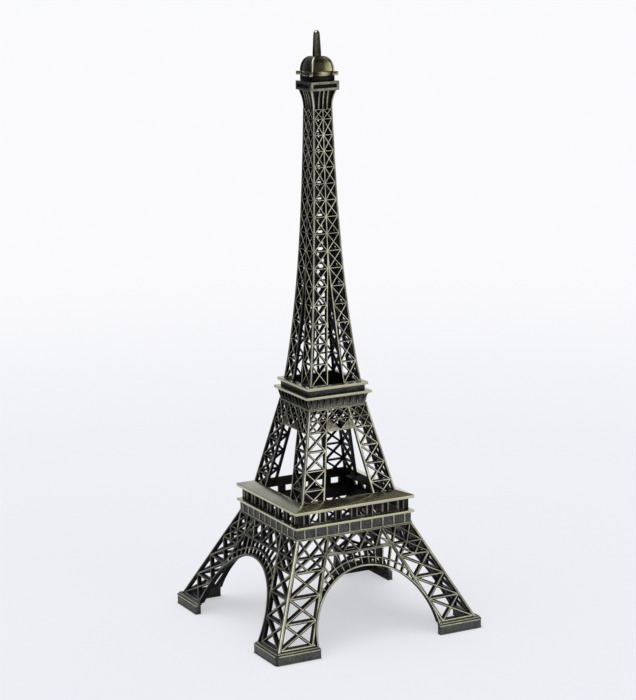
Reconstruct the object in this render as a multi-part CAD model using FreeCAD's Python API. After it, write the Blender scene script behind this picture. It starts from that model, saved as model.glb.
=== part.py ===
import FreeCAD, Part
import math
import os

from FreeCAD import Vector

# Souvenir lattice tower, a zinc casting in an antique brass finish, 32 cm tall.
# Millimetres, +Z up, origin at the centre of the footprint on the table.
# Every side is drawn as the front one (facing -Y) and turned round the middle.
# A half width is measured from the middle of the tower to an outer face.

# Foot plinths
plinth_half = 62.5
plinth_height = 6.2
plinth_wall = 3.2
plinth_inner_end = 36.0
plinth_corner_radius = 2.4
plinth_rim = 0.9
plinth_groove_height = 0.5
plinth_groove_depth = 0.4
flange_thickness = 1.0

# Lower storey: four leaning sides with an arch and a truss between the legs
base_foot_half = 59.6
base_top_half = 34.9
base_depth = 2.4
base_corner = 2.1
base_bay_count = 3
base_bays_height = 34.8
base_band_height = 6.3
base_truss_height = 8.9
base_rail = 0.9
base_diagonal = 0.9
base_bottom_rail = 1.5
inner_post_foot = 39.8
inner_post_top = 16.3
inner_post_width = 1.7
truss_cells = 4
band_cells = 2

# Arch under the lower storey
arch_radius = 36.3
arch_centre_height = 3.0
arch_band = 1.3
arch_proud = 0.8
arch_bar = 0.8
arch_bar_step = 6.0
arch_bar_reach = 48.0
smallest_cell = 1.2

# First floor: frieze, ledge, open gallery and hipped canopy
frieze_height = 5.8
frieze_wall = 3.4
frieze_recess = 0.5
frieze_lip = 0.8
ledge_overhang = 1.0
ledge_thickness = 1.4
gallery_setback = 1.4
gallery_wall = 1.5
gallery_height = 6.6
gallery_rail = 0.7
pier_count = 7
pier_pitch = 9.5
pier_width = 4.3
eave_overhang = 2.4
eave_height = 1.7
canopy_rise = 2.3
canopy_run = 4.17
seat_width = 2.6
seat_thickness = 1.2
seat_clearance = 0.3

# Middle storey: four leaning sides, two legs and a girdle each
mid_top_half = 17.55
mid_depth = 1.6
mid_corner = 1.7
mid_bay_count = 4
mid_bays_height = 39.2
mid_rail = 0.9
mid_diagonal = 0.8
mid_post_foot = 15.95
mid_post_top = 6.4
mid_post_width = 1.4
girdle_row_count = 2
girdle_height = 11.6
girdle_cells = 2

# Second floor: bracket cornice, two slabs and the wall between them
bracket_height = 6.2
bracket_top_half = 18.9
bracket_neck = 0.35
bracket_neck_share = 0.4
bracket_wall = 2.6
lower_slab_half = 19.65
lower_slab_thickness = 1.5
second_wall_half = 16.8
second_wall_thickness = 1.6
second_wall_height = 2.9
upper_slab_half = 18.2
upper_slab_thickness = 1.7

# Upper storey: four slender sides that taper in straight runs between folds
upper_foot_half = 15.4
upper_top_half = 5.75
upper_limit_half = 4.0
upper_depth = 1.4
upper_corner = 1.4
upper_bay_count = 15
upper_bay_limit = 7.9
upper_bay_extra = 3.3
upper_bay_ratio = 0.87
upper_top_bay = 5.3
upper_fold_counts = (4, 9)
upper_rail = 0.9
upper_diagonal = 0.7
upper_post_width = 0.9
upper_gap_foot = 5.05
upper_gap_bays = 6
touching = 0.001  # heights nearer than this are one height

# Top: coved flare, cabin, lantern, dome and spire
flare_height = 9.8
flare_top_half = 7.6
flare_sag = 0.45
flare_steps = 2
flare_corner_rib = 1.1
flare_rib_width = 0.8
flare_rib_proud = 0.5
flare_rib_pitch = 2.5
flare_rib_count = 3
cabin_half = 8.75
cabin_height = 4.7
cabin_corner_flat = 0.8
cabin_slot_half = 6.9
cabin_slot_height = 2.0
cabin_slot_depth = 0.8
lantern_half = 6.85
lantern_height = 5.2
lantern_disc_radius = 8.2
lantern_disc_height = 2.4
lug_reach = 11.5
lug_width = 1.8
dome_height = 7.7
dome_top_half = 2.3
dome_fullness = 0.88
dome_steps = 5
dome_rib_width = 1.3
dome_rib_proud = 0.5
spire_height = 13.46
spire_foot_radius = 2.3
spire_neck_radius = 1.75
spire_tip_radius = 0.7
spire_foot_height = 1.6
spire_tip_height = 2.4
turned_flats = 16


def levels():
    # Height of each joint between pieces, from the table up.
    steps = {
        "plinth": plinth_height,
        "bays": base_bays_height,
        "band": base_band_height,
        "truss": base_truss_height,
        "frieze": frieze_height,
        "ledge": ledge_thickness,
        "gallery": gallery_height,
    }
    heights = {}
    height = 0.0
    for name, step in steps.items():
        height += step
        heights[name] = height
    return heights


storey = levels()
base_top = storey["truss"]
gallery_top = storey["gallery"]
gallery_half = base_top_half - gallery_setback
eave_half = gallery_half + eave_overhang
mid_foot_half = gallery_half - canopy_run
mid_bays_top = gallery_top + mid_bays_height
mid_top = mid_bays_top + girdle_height
bracket_top = mid_top + bracket_height
lower_slab_top = bracket_top + lower_slab_thickness
second_wall_top = lower_slab_top + second_wall_height
upper_slab_top = second_wall_top + upper_slab_thickness


def point(x, z):
    return Vector(x, 0, z)


def between(start, end, share):
    return start + (end - start) * share


def crossing(first, second):
    # Where two lines in the drawing plane meet, each as a point and a direction.
    (a, u), (b, v) = first, second
    gap = b - a
    share = (gap.x * v.z - gap.z * v.x) / (u.x * v.z - u.z * v.x)
    return a + u * share


def closed(points):
    return Part.makePolygon(points + points[:1])


def keep_side(points, origin, inward):
    # The part of a convex outline that lies on the inward side of a line.
    kept = []
    for index, start in enumerate(points):
        end = points[(index + 1) % len(points)]
        start_depth = (start - origin).dot(inward)
        end_depth = (end - origin).dot(inward)
        if start_depth >= 0:
            kept.append(start)
        if start_depth * end_depth < 0:
            kept.append(between(start, end, start_depth / (start_depth - end_depth)))
    return kept


def cell(corners, margins):
    # A convex opening: every edge moves inwards by half the width of its member.
    middle = Vector()
    for corner in corners:
        middle += corner / len(corners)
    edges = []
    for index, start in enumerate(corners):
        end = corners[(index + 1) % len(corners)]
        along = (end - start).normalize()
        inward = Vector(-along.z, 0, along.x)
        if inward.dot(middle - start) < 0:
            inward = -inward
        edges.append((start + inward * margins[index], along))
    return closed([crossing(edges[index - 1], edges[index]) for index in range(len(edges))])


def braced_bay(corners, margins, diagonal, brace):
    # Openings of one bay. Corners run lower left, lower right, upper right, upper left,
    # and margins bottom, right, top, left. The brace is a cross, or one falling bar.
    low_left, low_right, top_right, top_left = corners
    bottom, right, top, left = margins
    slim = diagonal / 2
    if brace == "falling":
        return [
            cell([low_left, low_right, top_left], [bottom, slim, left]),
            cell([low_right, top_right, top_left], [right, top, slim]),
        ]
    middle = crossing((low_left, top_right - low_left), (low_right, top_left - low_right))
    return [
        cell([low_left, low_right, middle], [bottom, slim, slim]),
        cell([low_right, top_right, middle], [right, slim, slim]),
        cell([top_right, top_left, middle], [top, slim, slim]),
        cell([top_left, low_left, middle], [left, slim, slim]),
    ]


def zigzag_row(corners, margins, diagonal, count):
    # Openings of a row of bars that rise and fall between the two chords.
    low_left, low_right, top_right, top_left = corners
    bottom, right, top, left = margins
    slim = diagonal / 2
    low = [between(low_left, low_right, index / count) for index in range(count + 1)]
    high = [between(top_left, top_right, index / count) for index in range(count + 1)]
    openings = [cell([low[0], high[1], high[0]], [slim, top, left])]
    for index in range(0, count, 2):
        openings.append(cell([low[index], low[index + 2], high[index + 1]], [bottom, slim, slim]))
        if index + 3 <= count:
            peak = [high[index + 1], low[index + 2], high[index + 3]]
            openings.append(cell(peak, [slim, slim, top]))
    openings.append(cell([low[count], high[count], high[count - 1]], [right, top, slim]))
    return openings


def mirrored(wires):
    # The same openings on the other side of the middle line.
    return wires + [wire.mirror(Vector(), Vector(1, 0, 0)) for wire in wires]


def stacked(outlines):
    # A solid with flat sides between outlines of equal count, from the lowest to the highest.
    faces = [Part.Face(closed(outlines[0])), Part.Face(closed(outlines[-1]))]
    for low, high in zip(outlines, outlines[1:]):
        for index in range(len(low)):
            after = (index + 1) % len(low)
            faces.append(Part.Face(closed([low[index], low[after], high[after], high[index]])))
    solid = Part.Solid(Part.Shell(faces))
    if solid.Volume < 0:
        solid.reverse()
    return solid


def side_plate(sections, depth, corner_flat):
    # A leaning side that is mitred to its neighbours, through (height, half width) sections.
    # Its corner edge is taken off flat, half on this side and half on the next.
    outlines = []
    for height, half in sections:
        edge = [(half - depth, half - depth), (half - corner_flat / 2, half - corner_flat / 2)]
        edge.append((half - corner_flat, half))
        right = [Vector(x, -y, height) for x, y in edge]
        left = [Vector(-x, -y, height) for x, y in reversed(edge)]
        outlines.append(right + left)
    return stacked(outlines)


def square(half, height):
    return [
        Vector(-half, -half, height),
        Vector(half, -half, height),
        Vector(half, half, height),
        Vector(-half, half, height),
    ]


def pierced(plate, outline, openings):
    # The drawing, with its openings, pushed back through the leaning plate.
    face = Part.makeFace([outline] + openings, "Part::FaceMakerBullseye")
    drawing = face.extrude(Vector(0, -2 * plinth_half, 0))
    return plate.common(drawing)


def frame_outline(bottom, top, width):
    return closed([point(-width, bottom), point(width, bottom), point(width, top), point(-width, top)])


def square_ring(half, wall, bottom, top):
    outer = Part.makeBox(2 * half, 2 * half, top - bottom, Vector(-half, -half, bottom))
    inner_half = half - wall
    if inner_half <= 0:
        return outer
    inner_corner = Vector(-inner_half, -inner_half, bottom)
    hollow = Part.makeBox(2 * inner_half, 2 * inner_half, top - bottom, inner_corner)
    return outer.cut(hollow)


def round_the_middle(shape, count=4):
    copies = []
    for index in range(count):
        copy = shape.copy()
        copy.rotate(Vector(), Vector(0, 0, 1), 360 / count * index)
        copies.append(copy)
    return copies


def face_box(width, x, front, depth, bottom, top):
    # A block on the front side, from its front face backwards.
    return Part.makeBox(width, depth, top - bottom, Vector(x - width / 2, -front, bottom))


def base_half(height):
    # Half width of the lower storey's leaning face at a height.
    share = (height - plinth_height) / (base_top - plinth_height)
    return base_foot_half + (base_top_half - base_foot_half) * share


def inner_post(height):
    share = (height - plinth_height) / (base_top - plinth_height)
    return inner_post_foot + (inner_post_top - inner_post_foot) * share


def leg_corners(bottom, top, post, half):
    return [
        point(post(bottom), bottom),
        point(half(bottom), bottom),
        point(half(top), top),
        point(post(top), top),
    ]


def base_leg_openings():
    openings = []
    bay = (storey["bays"] - plinth_height) / base_bay_count
    post = inner_post_width / 2
    for index in range(base_bay_count):
        bottom = plinth_height + bay * index
        corners = leg_corners(bottom, bottom + bay, inner_post, base_half)
        low_rail = base_bottom_rail if index == 0 else base_rail / 2
        margins = [low_rail, base_corner, base_rail / 2, post]
        openings += braced_bay(corners, margins, base_diagonal, "cross")
    rows = [(storey["bays"], storey["band"]), (storey["band"], base_top)]
    for bottom, top in rows:
        corners = leg_corners(bottom, top, inner_post, base_half)
        margins = [base_rail / 2, base_corner, base_rail / 2, post]
        openings += zigzag_row(corners, margins, base_diagonal, band_cells)
    return openings


def truss_openings():
    bottom = storey["band"]
    corners = [
        point(-inner_post(bottom), bottom),
        point(inner_post(bottom), bottom),
        point(inner_post(base_top), base_top),
        point(-inner_post(base_top), base_top),
    ]
    post = inner_post_width / 2
    margins = [base_rail / 2, post, base_rail / 2, post]
    return zigzag_row(corners, margins, base_diagonal, truss_cells)


def arch_point(radius, angle):
    turn = math.radians(angle)
    return point(radius * math.sin(turn), arch_centre_height + radius * math.cos(turn))


def arch_run(radius):
    # The arch from one springing to the other, straight from bar to bar.
    count = round(90 / arch_bar_step)
    return [arch_point(radius, arch_bar_step * index) for index in range(-count, count + 1)]


def arch_bar_side(angle, turn):
    # A point on one side of the bar at an angle, and the direction away from the bar.
    along = math.radians(angle)
    away = Vector(math.cos(along), 0, -math.sin(along)) * turn
    return point(0, arch_centre_height) + away * (arch_bar / 2), away


def arch_cell(angle):
    # One opening between two bars, over the arch band and under the chord and the inner posts.
    next_angle = angle + arch_bar_step
    band_radius = arch_radius + arch_band
    low = arch_point(band_radius, angle)
    along = arch_point(band_radius, next_angle) - low
    post_foot = inner_post(plinth_height) - inner_post_width / 2
    post_head = inner_post(base_top) - inner_post_width / 2
    lean = Vector(post_head - post_foot, 0, base_top - plinth_height)
    limits = [
        arch_bar_side(angle, 1),
        arch_bar_side(next_angle, -1),
        (low, Vector(-along.z, 0, along.x)),
        (point(0, storey["band"] - base_rail / 2), Vector(0, 0, -1)),
        (point(post_foot, plinth_height), Vector(-lean.z, 0, lean.x)),
        (point(-post_foot, plinth_height), Vector(lean.z, 0, lean.x)),
    ]
    reach = base_foot_half
    outline = [point(-reach, 0), point(reach, 0), point(reach, reach), point(-reach, reach)]
    for origin, inward in limits:
        outline = keep_side(outline, origin, inward)
    return outline


def arch_openings():
    # The row of openings between the bars that fan out from the arch band.
    openings = []
    count = round(arch_bar_reach / arch_bar_step)
    for index in range(-count, count):
        outline = arch_cell(arch_bar_step * index)
        if len(outline) < 3:
            continue
        wire = closed(outline)
        if Part.Face(wire).Area > smallest_cell:
            openings.append(wire)
    return openings


def arch_hollow():
    # Everything under the arch, as a prism through the side.
    run = arch_run(arch_radius)
    floor = [point(arch_radius, 0), point(-arch_radius, 0)]
    return Part.Face(closed(run + floor)).extrude(Vector(0, -2 * plinth_half, 0))


def arch_band_solid():
    # The thick rim of the arch stands proud of the lattice and follows its lean.
    outline = arch_run(arch_radius + arch_band) + arch_run(arch_radius)[::-1]
    rim = Part.Face(closed(outline)).extrude(Vector(0, -2 * plinth_half, 0))
    sections = [
        (plinth_height, base_foot_half + arch_proud),
        (base_top, base_top_half + arch_proud),
    ]
    return side_plate(sections, base_depth + arch_proud, arch_proud).common(rim)


def plinth_solid():
    # One foot's plate with its rim, groove and flange, cut square inside and mitred at the corner.
    front = plinth_half
    back = plinth_half - plinth_wall
    flange_back = base_foot_half - base_depth
    rim_bottom = plinth_height - plinth_rim
    groove_bottom = rim_bottom - plinth_groove_height
    groove = front - plinth_groove_depth
    flange_bottom = plinth_height - flange_thickness
    section = [
        (front, 0),
        (front, groove_bottom),
        (groove, groove_bottom),
        (groove, rim_bottom),
        (front, rim_bottom),
        (front, plinth_height),
        (flange_back, plinth_height),
        (flange_back, flange_bottom),
        (back, flange_bottom),
        (back, 0),
    ]
    wire = closed([Vector(plinth_inner_end, -depth, height) for depth, height in section])
    bar = Part.Face(wire).extrude(Vector(plinth_half - plinth_inner_end, 0, 0))
    corner = Vector(-plinth_half, -plinth_half, 0)
    plan = Part.makeBox(2 * plinth_half, 2 * plinth_half, plinth_height, corner)
    upright = [edge for edge in plan.Edges if abs(edge.tangentAt(0).z) > 0.9]
    plan = plan.makeFillet(plinth_corner_radius, upright)
    wedge_reach = 2 * plinth_half
    wedge_wire = closed([
        Vector(),
        Vector(wedge_reach, -wedge_reach, 0),
        Vector(-wedge_reach, -wedge_reach, 0),
    ])
    wedge = Part.Face(wedge_wire).extrude(Vector(0, 0, plinth_height))
    return bar.common(plan).common(wedge)


def base_side():
    sections = [(plinth_height, base_foot_half), (base_top, base_top_half)]
    plate = side_plate(sections, base_depth, base_corner / 2)
    openings = mirrored(base_leg_openings()) + truss_openings() + arch_openings()
    outline = frame_outline(plinth_height, base_top, 2 * base_foot_half)
    lattice = pierced(plate, outline, openings).cut(arch_hollow())
    foot = plinth_solid()
    other_foot = foot.mirror(Vector(), Vector(1, 0, 0))
    return lattice.fuse([arch_band_solid(), foot, other_foot]).removeSplitter()


def frieze():
    # Sunk band between a lip and the ledge.
    bottom = base_top
    top = storey["frieze"]
    band = square_ring(base_top_half - frieze_recess, frieze_wall - frieze_recess, bottom, top)
    lip = square_ring(base_top_half, frieze_wall, bottom, bottom + frieze_lip)
    ledge_half = base_top_half + ledge_overhang
    ledge = square_ring(ledge_half, frieze_wall + ledge_overhang, top, storey["ledge"])
    return band.fuse([lip, ledge]).removeSplitter()


def gallery():
    # Open wall between the ledge and the canopy: the spaces between its piers go right through.
    bottom = storey["ledge"]
    wall = square_ring(gallery_half, gallery_wall, bottom, gallery_top)
    windows = []
    window = pier_pitch - pier_width
    sill = bottom + gallery_rail
    head = gallery_top - gallery_rail
    for index in range(pier_count - 1):
        x = pier_pitch * (index - (pier_count - 2) / 2)
        opening = face_box(window, x, gallery_half, gallery_wall, sill, head)
        windows += round_the_middle(opening)
    return wall.cut(windows)


def mid_half(height):
    share = (height - gallery_top) / (mid_top - gallery_top)
    return mid_foot_half + (mid_top_half - mid_foot_half) * share


def mid_post(height):
    share = (height - gallery_top) / (mid_top - gallery_top)
    return mid_post_foot + (mid_post_top - mid_post_foot) * share


def canopy():
    # Hipped ring that closes on the middle storey's legs, with the seat that they stand on.
    eave_top = gallery_top + eave_height
    ridge = eave_top + canopy_rise
    inner_edge = square(mid_half(ridge), ridge)
    body = stacked([square(eave_half, gallery_top), square(eave_half, eave_top), inner_edge])
    hollow = stacked([square(mid_foot_half, gallery_top), inner_edge])
    seat_half = gallery_half - gallery_wall - seat_clearance
    seat_inner = mid_foot_half - seat_width
    seat = square_ring(seat_half, seat_half - seat_inner, gallery_top - seat_thickness, gallery_top)
    return body.cut(hollow).fuse(seat).removeSplitter()


def mid_side():
    openings = []
    bay = mid_bays_height / mid_bay_count
    rail = mid_rail / 2
    post = mid_post_width / 2
    for index in range(mid_bay_count):
        bottom = gallery_top + bay * index
        corners = leg_corners(bottom, bottom + bay, mid_post, mid_half)
        hidden = index == 0
        low_rail = mid_rail if hidden else rail
        brace = "falling" if hidden else "cross"
        openings += braced_bay(corners, [low_rail, mid_corner, rail, post], mid_diagonal, brace)
    row = girdle_height / girdle_row_count
    middle_openings = []
    for index in range(girdle_row_count):
        bottom = mid_bays_top + row * index
        top = bottom + row
        corners = leg_corners(bottom, top, mid_post, mid_half)
        openings += zigzag_row(corners, [rail, mid_corner, rail, post], mid_diagonal, girdle_cells)
        middle = [
            point(-mid_post(bottom), bottom),
            point(mid_post(bottom), bottom),
            point(mid_post(top), top),
            point(-mid_post(top), top),
        ]
        middle_openings += zigzag_row(middle, [rail, post, rail, post], mid_diagonal, girdle_cells)
    gap_top = mid_bays_top - rail
    gap = closed([
        point(-mid_post(gallery_top) + post, gallery_top),
        point(mid_post(gallery_top) - post, gallery_top),
        point(mid_post(gap_top) - post, gap_top),
        point(-mid_post(gap_top) + post, gap_top),
    ])
    sections = [(gallery_top, mid_foot_half), (mid_top, mid_top_half)]
    plate = side_plate(sections, mid_depth, mid_corner / 2)
    outline = frame_outline(gallery_top, mid_top, 2 * mid_foot_half)
    lattice = pierced(plate, outline, mirrored(openings) + middle_openings)
    gap_solid = Part.Face(gap).extrude(Vector(0, -2 * mid_foot_half, 0))
    return lattice.cut(gap_solid).removeSplitter()


def cornice_profile():
    # The bracket cornice swings in above the girdle and out again under the slab.
    foot = Vector(mid_top_half, 0, mid_top)
    neck = Vector(mid_top_half - bracket_neck, 0, mid_top + bracket_height * bracket_neck_share)
    lip = Vector(bracket_top_half, 0, bracket_top)
    return foot, neck, lip


def coved_block(foot, neck, lip):
    # A square block whose four sides follow one curve, as two prisms that cross.
    curve = Part.Arc(foot, neck, lip).toShape()
    other = curve.mirror(Vector(), Vector(1, 0, 0))
    top = Part.makeLine(lip, Vector(-lip.x, 0, lip.z))
    bottom = Part.makeLine(foot, Vector(-foot.x, 0, foot.z))
    face = Part.Face(Part.Wire(Part.__sortEdges__([curve, top, other, bottom])))
    reach = 2 * max(foot.x, lip.x)
    prism = face.extrude(Vector(0, reach, 0))
    prism.translate(Vector(0, -reach / 2, 0))
    turned = prism.copy()
    turned.rotate(Vector(), Vector(0, 0, 1), 90)
    return prism.common(turned)


def bracket_cornice():
    block = coved_block(*cornice_profile())
    inner = mid_top_half - bracket_wall
    hollow = Part.makeBox(2 * inner, 2 * inner, bracket_height, Vector(-inner, -inner, mid_top))
    return block.cut(hollow)


def upper_rails():
    # Bay heights shrink by a ratio towards their limit; a short bay closes the top.
    heights = [upper_slab_top]
    for index in range(upper_bay_count):
        heights.append(heights[-1] + upper_bay_limit + upper_bay_extra * upper_bay_ratio ** index)
    heights.append(heights[-1] + upper_top_bay)
    return heights


rails = upper_rails()
upper_top = rails[-1]


def upper_curve(height):
    # The storey's taper, a decaying curve between its foot and top half widths.
    share = (height - upper_slab_top) / (upper_top - upper_slab_top)
    ratio = (upper_top_half - upper_limit_half) / (upper_foot_half - upper_limit_half)
    return upper_limit_half + (upper_foot_half - upper_limit_half) * ratio ** share


def upper_sections():
    heights = [rails[0]] + [rails[index] for index in upper_fold_counts] + [rails[-1]]
    return [(height, upper_curve(height)) for height in heights]


def upper_half(height):
    sections = upper_sections()
    for (low, low_half), (high, high_half) in zip(sections, sections[1:]):
        if height <= high + touching:
            return low_half + (high_half - low_half) * (height - low) / (high - low)
    return upper_top_half


def upper_post(height):
    # The two middle posts lean together and run on as one.
    merge = rails[upper_gap_bays]
    closed_gap = upper_post_width / 2
    if height > merge:
        return 0.0
    share = (merge - height) / (merge - upper_slab_top)
    return closed_gap + (upper_gap_foot - closed_gap) * share


def upper_side():
    openings = []
    rail = upper_rail / 2
    post = upper_post_width / 2
    for index, (bottom, top) in enumerate(zip(rails, rails[1:])):
        corners = [
            point(upper_post(bottom), bottom),
            point(upper_half(bottom), bottom),
            point(upper_half(top), top),
            point(upper_post(top), top),
        ]
        low_rail = upper_rail if index == 0 else rail
        high_rail = upper_rail if index == len(rails) - 2 else rail
        openings += braced_bay(corners, [low_rail, upper_corner, high_rail, post], upper_diagonal, "falling")
    plate = side_plate(upper_sections(), upper_depth, upper_corner / 2)
    outline = frame_outline(rails[0], rails[-1], 2 * upper_foot_half)
    lattice = pierced(plate, outline, mirrored(openings))
    gap = closed([
        point(-upper_post(rails[0]) + post, rails[0]),
        point(upper_post(rails[0]) - post, rails[0]),
        point(0, rails[upper_gap_bays]),
    ])
    gap_solid = Part.Face(gap).extrude(Vector(0, -2 * upper_foot_half, 0))
    return lattice.cut(gap_solid).removeSplitter()


flare_top = upper_top + flare_height
cabin_top = flare_top + cabin_height
lantern_top = cabin_top + lantern_height
dome_top = lantern_top + dome_height


def turned_plan(side, height):
    # One side's (across, out) points, turned into a closed plan of four sides at a height.
    plan = []
    for turn in range(4):
        spin = FreeCAD.Rotation(Vector(0, 0, 1), 90 * turn)
        plan += [spin.multVec(Vector(across, -out, height)) for across, out in side]
    return plan


def round_plan(radius, height):
    # A turned edge, in flats.
    plan = []
    for index in range(turned_flats):
        turn = math.radians(360 * (index + 0.5) / turned_flats)
        plan.append(Vector(radius * math.cos(turn), radius * math.sin(turn), height))
    return plan


def flare_side(half):
    # From the left corner rib past the middle ribs to the right corner rib.
    sunk = half - flare_rib_proud
    inside = half - flare_corner_rib
    side = [(-half, half), (-inside, half), (-inside, sunk)]
    for index in range(flare_rib_count):
        left = flare_rib_pitch * (index - (flare_rib_count - 1) / 2) - flare_rib_width / 2
        right = left + flare_rib_width
        side += [(left, sunk), (left, half), (right, half), (right, sunk)]
    return side + [(inside, sunk), (inside, half)]


def flare():
    # Coved block between the lattice and the cabin, with corner ribs and more on each side.
    plans = []
    for step in range(flare_steps + 1):
        share = step / flare_steps
        bow = 4 * flare_sag * share * (1 - share)
        half = upper_top_half + (flare_top_half - upper_top_half) * share - bow
        plans.append(turned_plan(flare_side(half), upper_top + flare_height * share))
    return stacked(plans)


def cabin():
    corner = Vector(-cabin_half, -cabin_half, flare_top)
    body = Part.makeBox(2 * cabin_half, 2 * cabin_half, cabin_height, corner)
    upright = [edge for edge in body.Edges if abs(edge.tangentAt(0).z) > 0.9]
    body = body.makeChamfer(cabin_corner_flat, upright)
    sill = flare_top + (cabin_height - cabin_slot_height) / 2
    slot = face_box(2 * cabin_slot_half, 0, cabin_half, cabin_slot_depth, sill, sill + cabin_slot_height)
    return body.cut(round_the_middle(slot))


def lantern():
    # Square drum through a round disc with a lug on each corner.
    drum = Part.makeBox(
        2 * lantern_half, 2 * lantern_half, lantern_height, Vector(-lantern_half, -lantern_half, cabin_top)
    )
    disc_bottom = lantern_top - lantern_disc_height
    disc = stacked([round_plan(lantern_disc_radius, height) for height in (disc_bottom, lantern_top)])
    bar = face_box(lug_width, 0, lug_reach, 2 * lug_reach, disc_bottom, lantern_top)
    bars = []
    for angle in (45, 135):
        lug = bar.copy()
        lug.rotate(Vector(), Vector(0, 0, 1), angle)
        bars.append(lug)
    return drum.fuse([disc] + bars).removeSplitter()


def dome_side(half):
    # A pane between two half ribs. The ribs lie on the diagonals and stand proud of the panes.
    slant = math.sqrt(2)
    notch = half - dome_rib_width / slant
    tip_across = half + (dome_rib_proud - dome_rib_width / 2) / slant
    tip_out = half + (dome_rib_proud + dome_rib_width / 2) / slant
    return [(-tip_across, tip_out), (-notch, half), (notch, half), (tip_across, tip_out)]


def dome():
    # Upright at the springing and rounded over to the spire.
    plans = []
    for step in range(dome_steps + 1):
        turn = math.radians(90 * step / dome_steps)
        spread = (lantern_half - dome_top_half) * math.cos(turn) ** dome_fullness
        height = lantern_top + dome_height * math.sin(turn)
        plans.append(turned_plan(dome_side(dome_top_half + spread), height))
    return stacked(plans)


def spire():
    # Turned in one piece: foot, long taper and point.
    foot_top = dome_top + spire_foot_height
    tip_bottom = dome_top + spire_height - spire_tip_height
    profile = [
        (spire_foot_radius, dome_top),
        (spire_foot_radius, foot_top),
        (spire_neck_radius, tip_bottom),
        (spire_tip_radius, dome_top + spire_height),
    ]
    return stacked([round_plan(radius, height) for radius, height in profile])


def build():
    sides = ("front", "right", "back", "left")
    pieces = {}
    for storey_name, side in (("base", base_side()), ("mid", mid_side()), ("upper", upper_side())):
        for name, copy in zip(sides, round_the_middle(side)):
            pieces[f"{storey_name}_side_{name}"] = copy
    pieces["first_floor_frieze"] = frieze()
    pieces["first_floor_gallery"] = gallery()
    pieces["canopy_roof"] = canopy()
    pieces["second_floor_cornice"] = bracket_cornice()
    slab_wall = lower_slab_half - (mid_top_half - bracket_wall)
    pieces["second_floor_lower_slab"] = square_ring(lower_slab_half, slab_wall, bracket_top, lower_slab_top)
    pieces["second_floor_wall"] = square_ring(
        second_wall_half, second_wall_thickness, lower_slab_top, second_wall_top
    )
    upper_slab_wall = upper_slab_half - (upper_foot_half - upper_depth) + seat_clearance
    pieces["second_floor_upper_slab"] = square_ring(
        upper_slab_half, upper_slab_wall, second_wall_top, upper_slab_top
    )
    pieces["top_flare"] = flare()
    pieces["top_cabin"] = cabin()
    pieces["top_lantern"] = lantern()
    pieces["top_dome"] = dome()
    pieces["top_spire"] = spire()
    return pieces


os.makedirs("parts", exist_ok=True)
for name, shape in build().items():
    solid = shape.Solids[0]
    print(name, len(shape.Solids), "solid", round(solid.Volume, 1), "mm3", shape.isValid())
    solid.exportStep(f"parts/{name}.step")
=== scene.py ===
import bpy
import bmesh
import math
from mathutils import Matrix, Vector
from mathutils.geometry import intersect_line_line


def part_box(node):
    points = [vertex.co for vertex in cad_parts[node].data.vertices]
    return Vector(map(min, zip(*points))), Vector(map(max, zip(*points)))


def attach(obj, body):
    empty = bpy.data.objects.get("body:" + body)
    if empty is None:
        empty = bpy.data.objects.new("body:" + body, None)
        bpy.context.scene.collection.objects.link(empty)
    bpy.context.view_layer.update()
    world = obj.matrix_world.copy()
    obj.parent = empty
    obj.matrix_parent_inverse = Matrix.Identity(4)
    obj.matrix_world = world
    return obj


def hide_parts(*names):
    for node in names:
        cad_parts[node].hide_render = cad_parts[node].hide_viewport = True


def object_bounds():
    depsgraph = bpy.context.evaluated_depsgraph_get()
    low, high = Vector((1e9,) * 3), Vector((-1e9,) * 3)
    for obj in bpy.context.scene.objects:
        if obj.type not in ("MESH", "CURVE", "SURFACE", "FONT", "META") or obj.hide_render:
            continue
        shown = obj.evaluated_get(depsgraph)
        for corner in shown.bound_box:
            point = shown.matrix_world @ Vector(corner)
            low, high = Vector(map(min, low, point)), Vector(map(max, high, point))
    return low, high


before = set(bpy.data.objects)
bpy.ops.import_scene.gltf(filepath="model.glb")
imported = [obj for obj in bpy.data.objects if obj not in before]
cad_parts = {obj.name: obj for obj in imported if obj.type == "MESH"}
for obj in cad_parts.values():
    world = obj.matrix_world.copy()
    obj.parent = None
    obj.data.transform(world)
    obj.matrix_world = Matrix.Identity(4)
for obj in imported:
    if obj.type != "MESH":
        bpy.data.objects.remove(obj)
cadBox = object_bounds()
mm = 0.001
zAxis = Vector((0, 0, 1))
yAxis = Vector((0, 1, 0))
origin = Vector()
sides = ("front", "right", "back", "left")  # each a quarter turn on from the last


def levelsOf(node):  # a node's lowest and highest level in mm
    low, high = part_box(node)
    return low.z / mm, high.z / mm


def halfOf(node):  # how far a node reaches towards the front in mm
    return -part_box(node)[0].y / mm


def mix(low, high, share):
    return low + (high - low) * share


# camera and studio

view = {
    "azimuth": -27.581, "elevation": 12.058, "roll": -1.004,
    "distance": 3.9611, "aim": 0.465665, "aside": -0.006624,  # in heights of the tower
    "lens": 121.27, "sensor": 36, "clip": (0.01, 60),
}


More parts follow.
